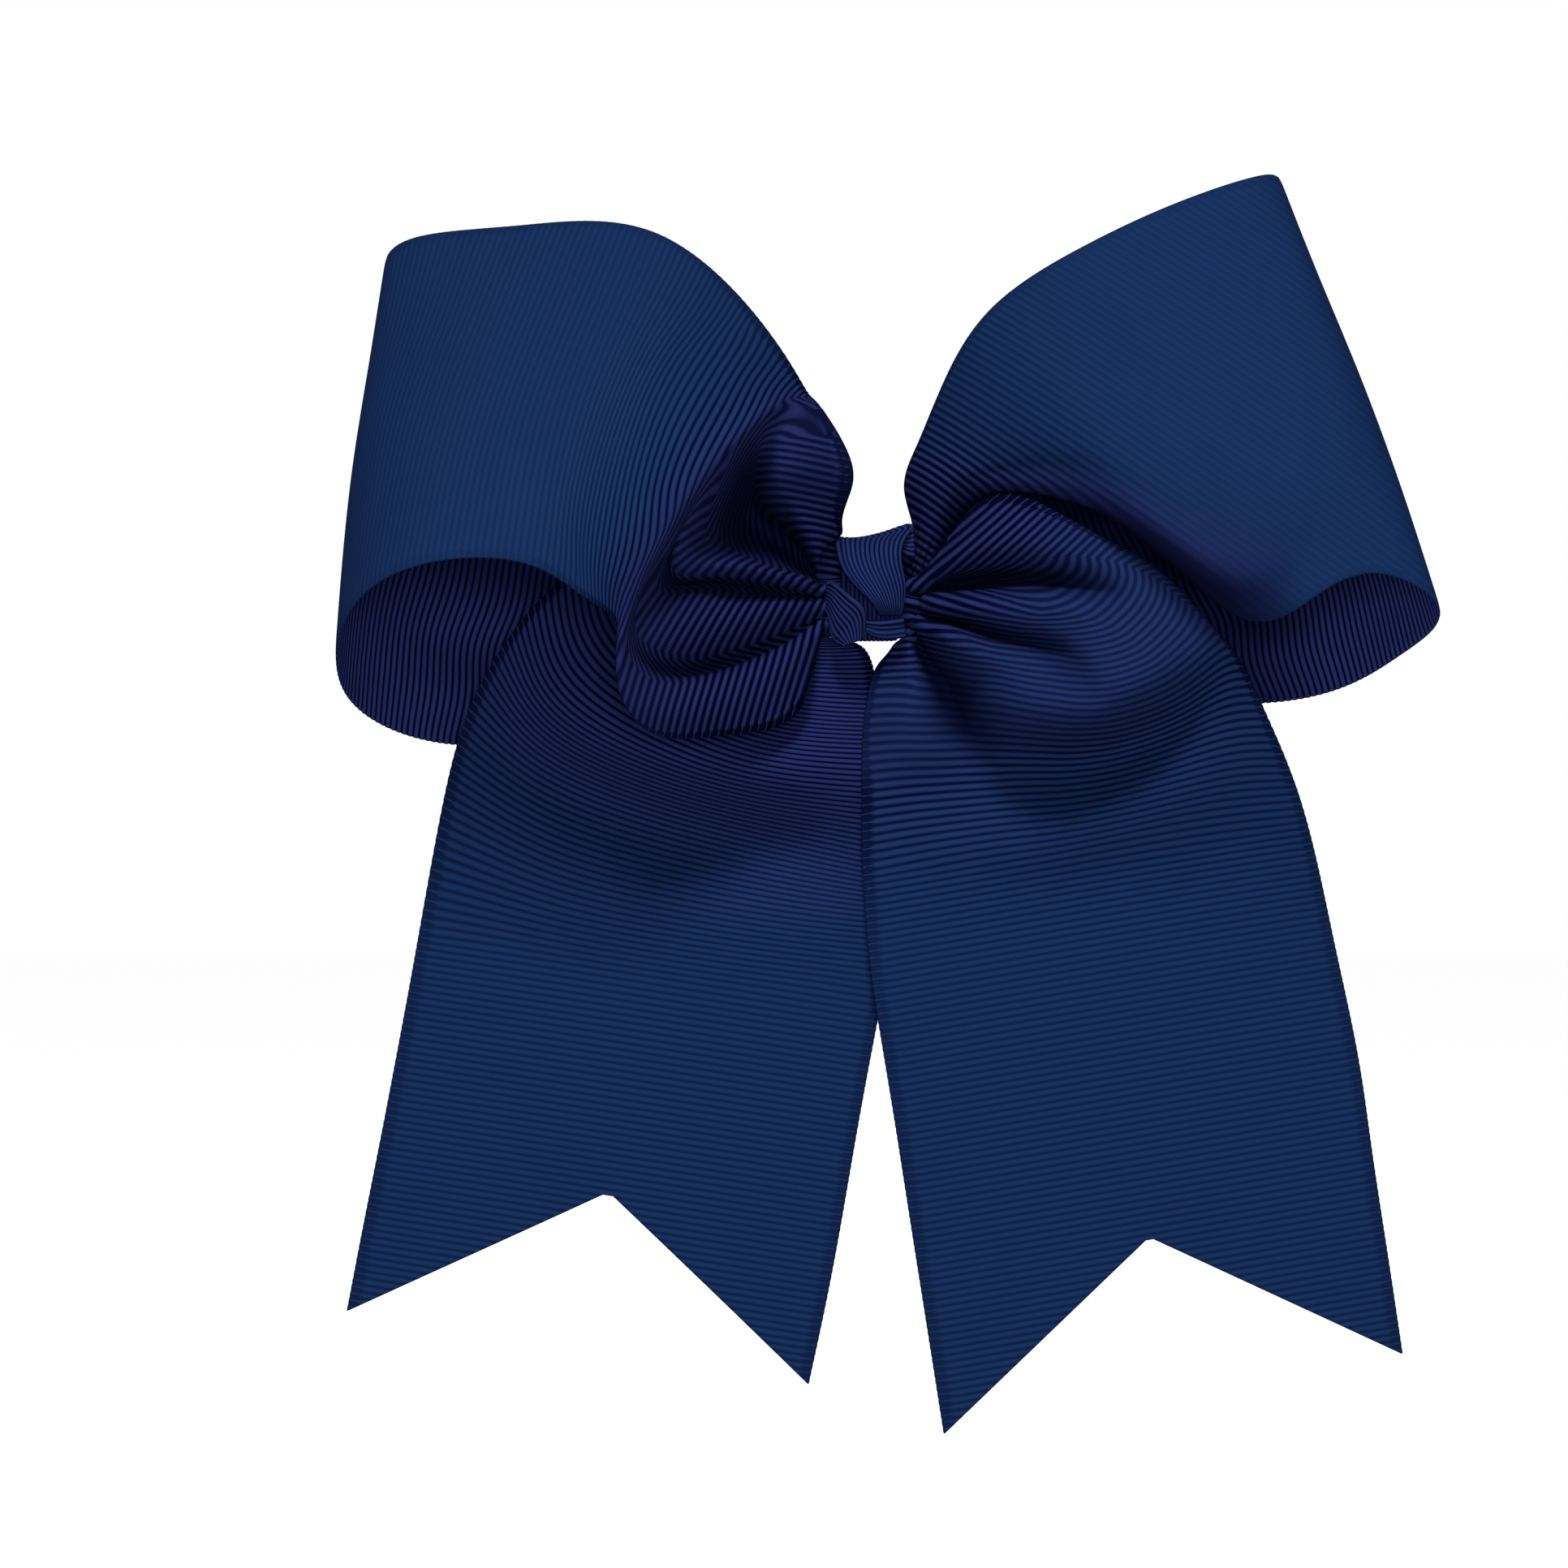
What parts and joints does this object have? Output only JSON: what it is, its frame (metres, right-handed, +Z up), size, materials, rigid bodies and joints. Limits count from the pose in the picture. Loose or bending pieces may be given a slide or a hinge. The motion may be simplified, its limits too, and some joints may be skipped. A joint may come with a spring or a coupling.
{
  "type": "cheer hair bow",
  "caption": "Wide grosgrain ribbon bow with puffed loops, swallow-tailed tails and a tied centre knot, on a sprung toothed hair clip.",
  "frame": {"origin": "on the clip plate's gripping face, on the axis through the middle of the knot", "axes": "+Z up as worn, -Y out of the front of the bow, +X to the right as seen from the front, along the clip towards its lever"},
  "size_m": [0.1782, 0.0655, 0.206],
  "materials": {
    "ribbon": "ribbed grosgrain",
    "thread": "twisted thread",
    "glue": "set hot-melt glue",
    "clip_steel": "nickel plated",
    "spring_steel": "drawn wire"
  },
  "bodies": {
    "bow": {"left_loop": "ribbon", "right_loop": "ribbon", "left_tail": "ribbon", "right_tail": "ribbon", "knot": "ribbon", "knot_band": "ribbon", "gathering_thread": "thread", "glue_pad": "glue", "clip_plate": "clip_steel", "clip_pin": "clip_steel", "clip_spring": "spring_steel"},
    "jaw": {"clip_jaw": "clip_steel"}
  },
  "joints": [
    {"name": "jaw_hinge", "type": "hinge", "parent": "bow", "child": "jaw", "pos_m": [0.009, 0.00185, 0], "axis": [0, 0, -1], "range_deg": [0, 30], "stiffness_Nm_per_rad": 0.15, "springref_deg": -34.38, "deforming": ["clip_spring"]}
  ]
}
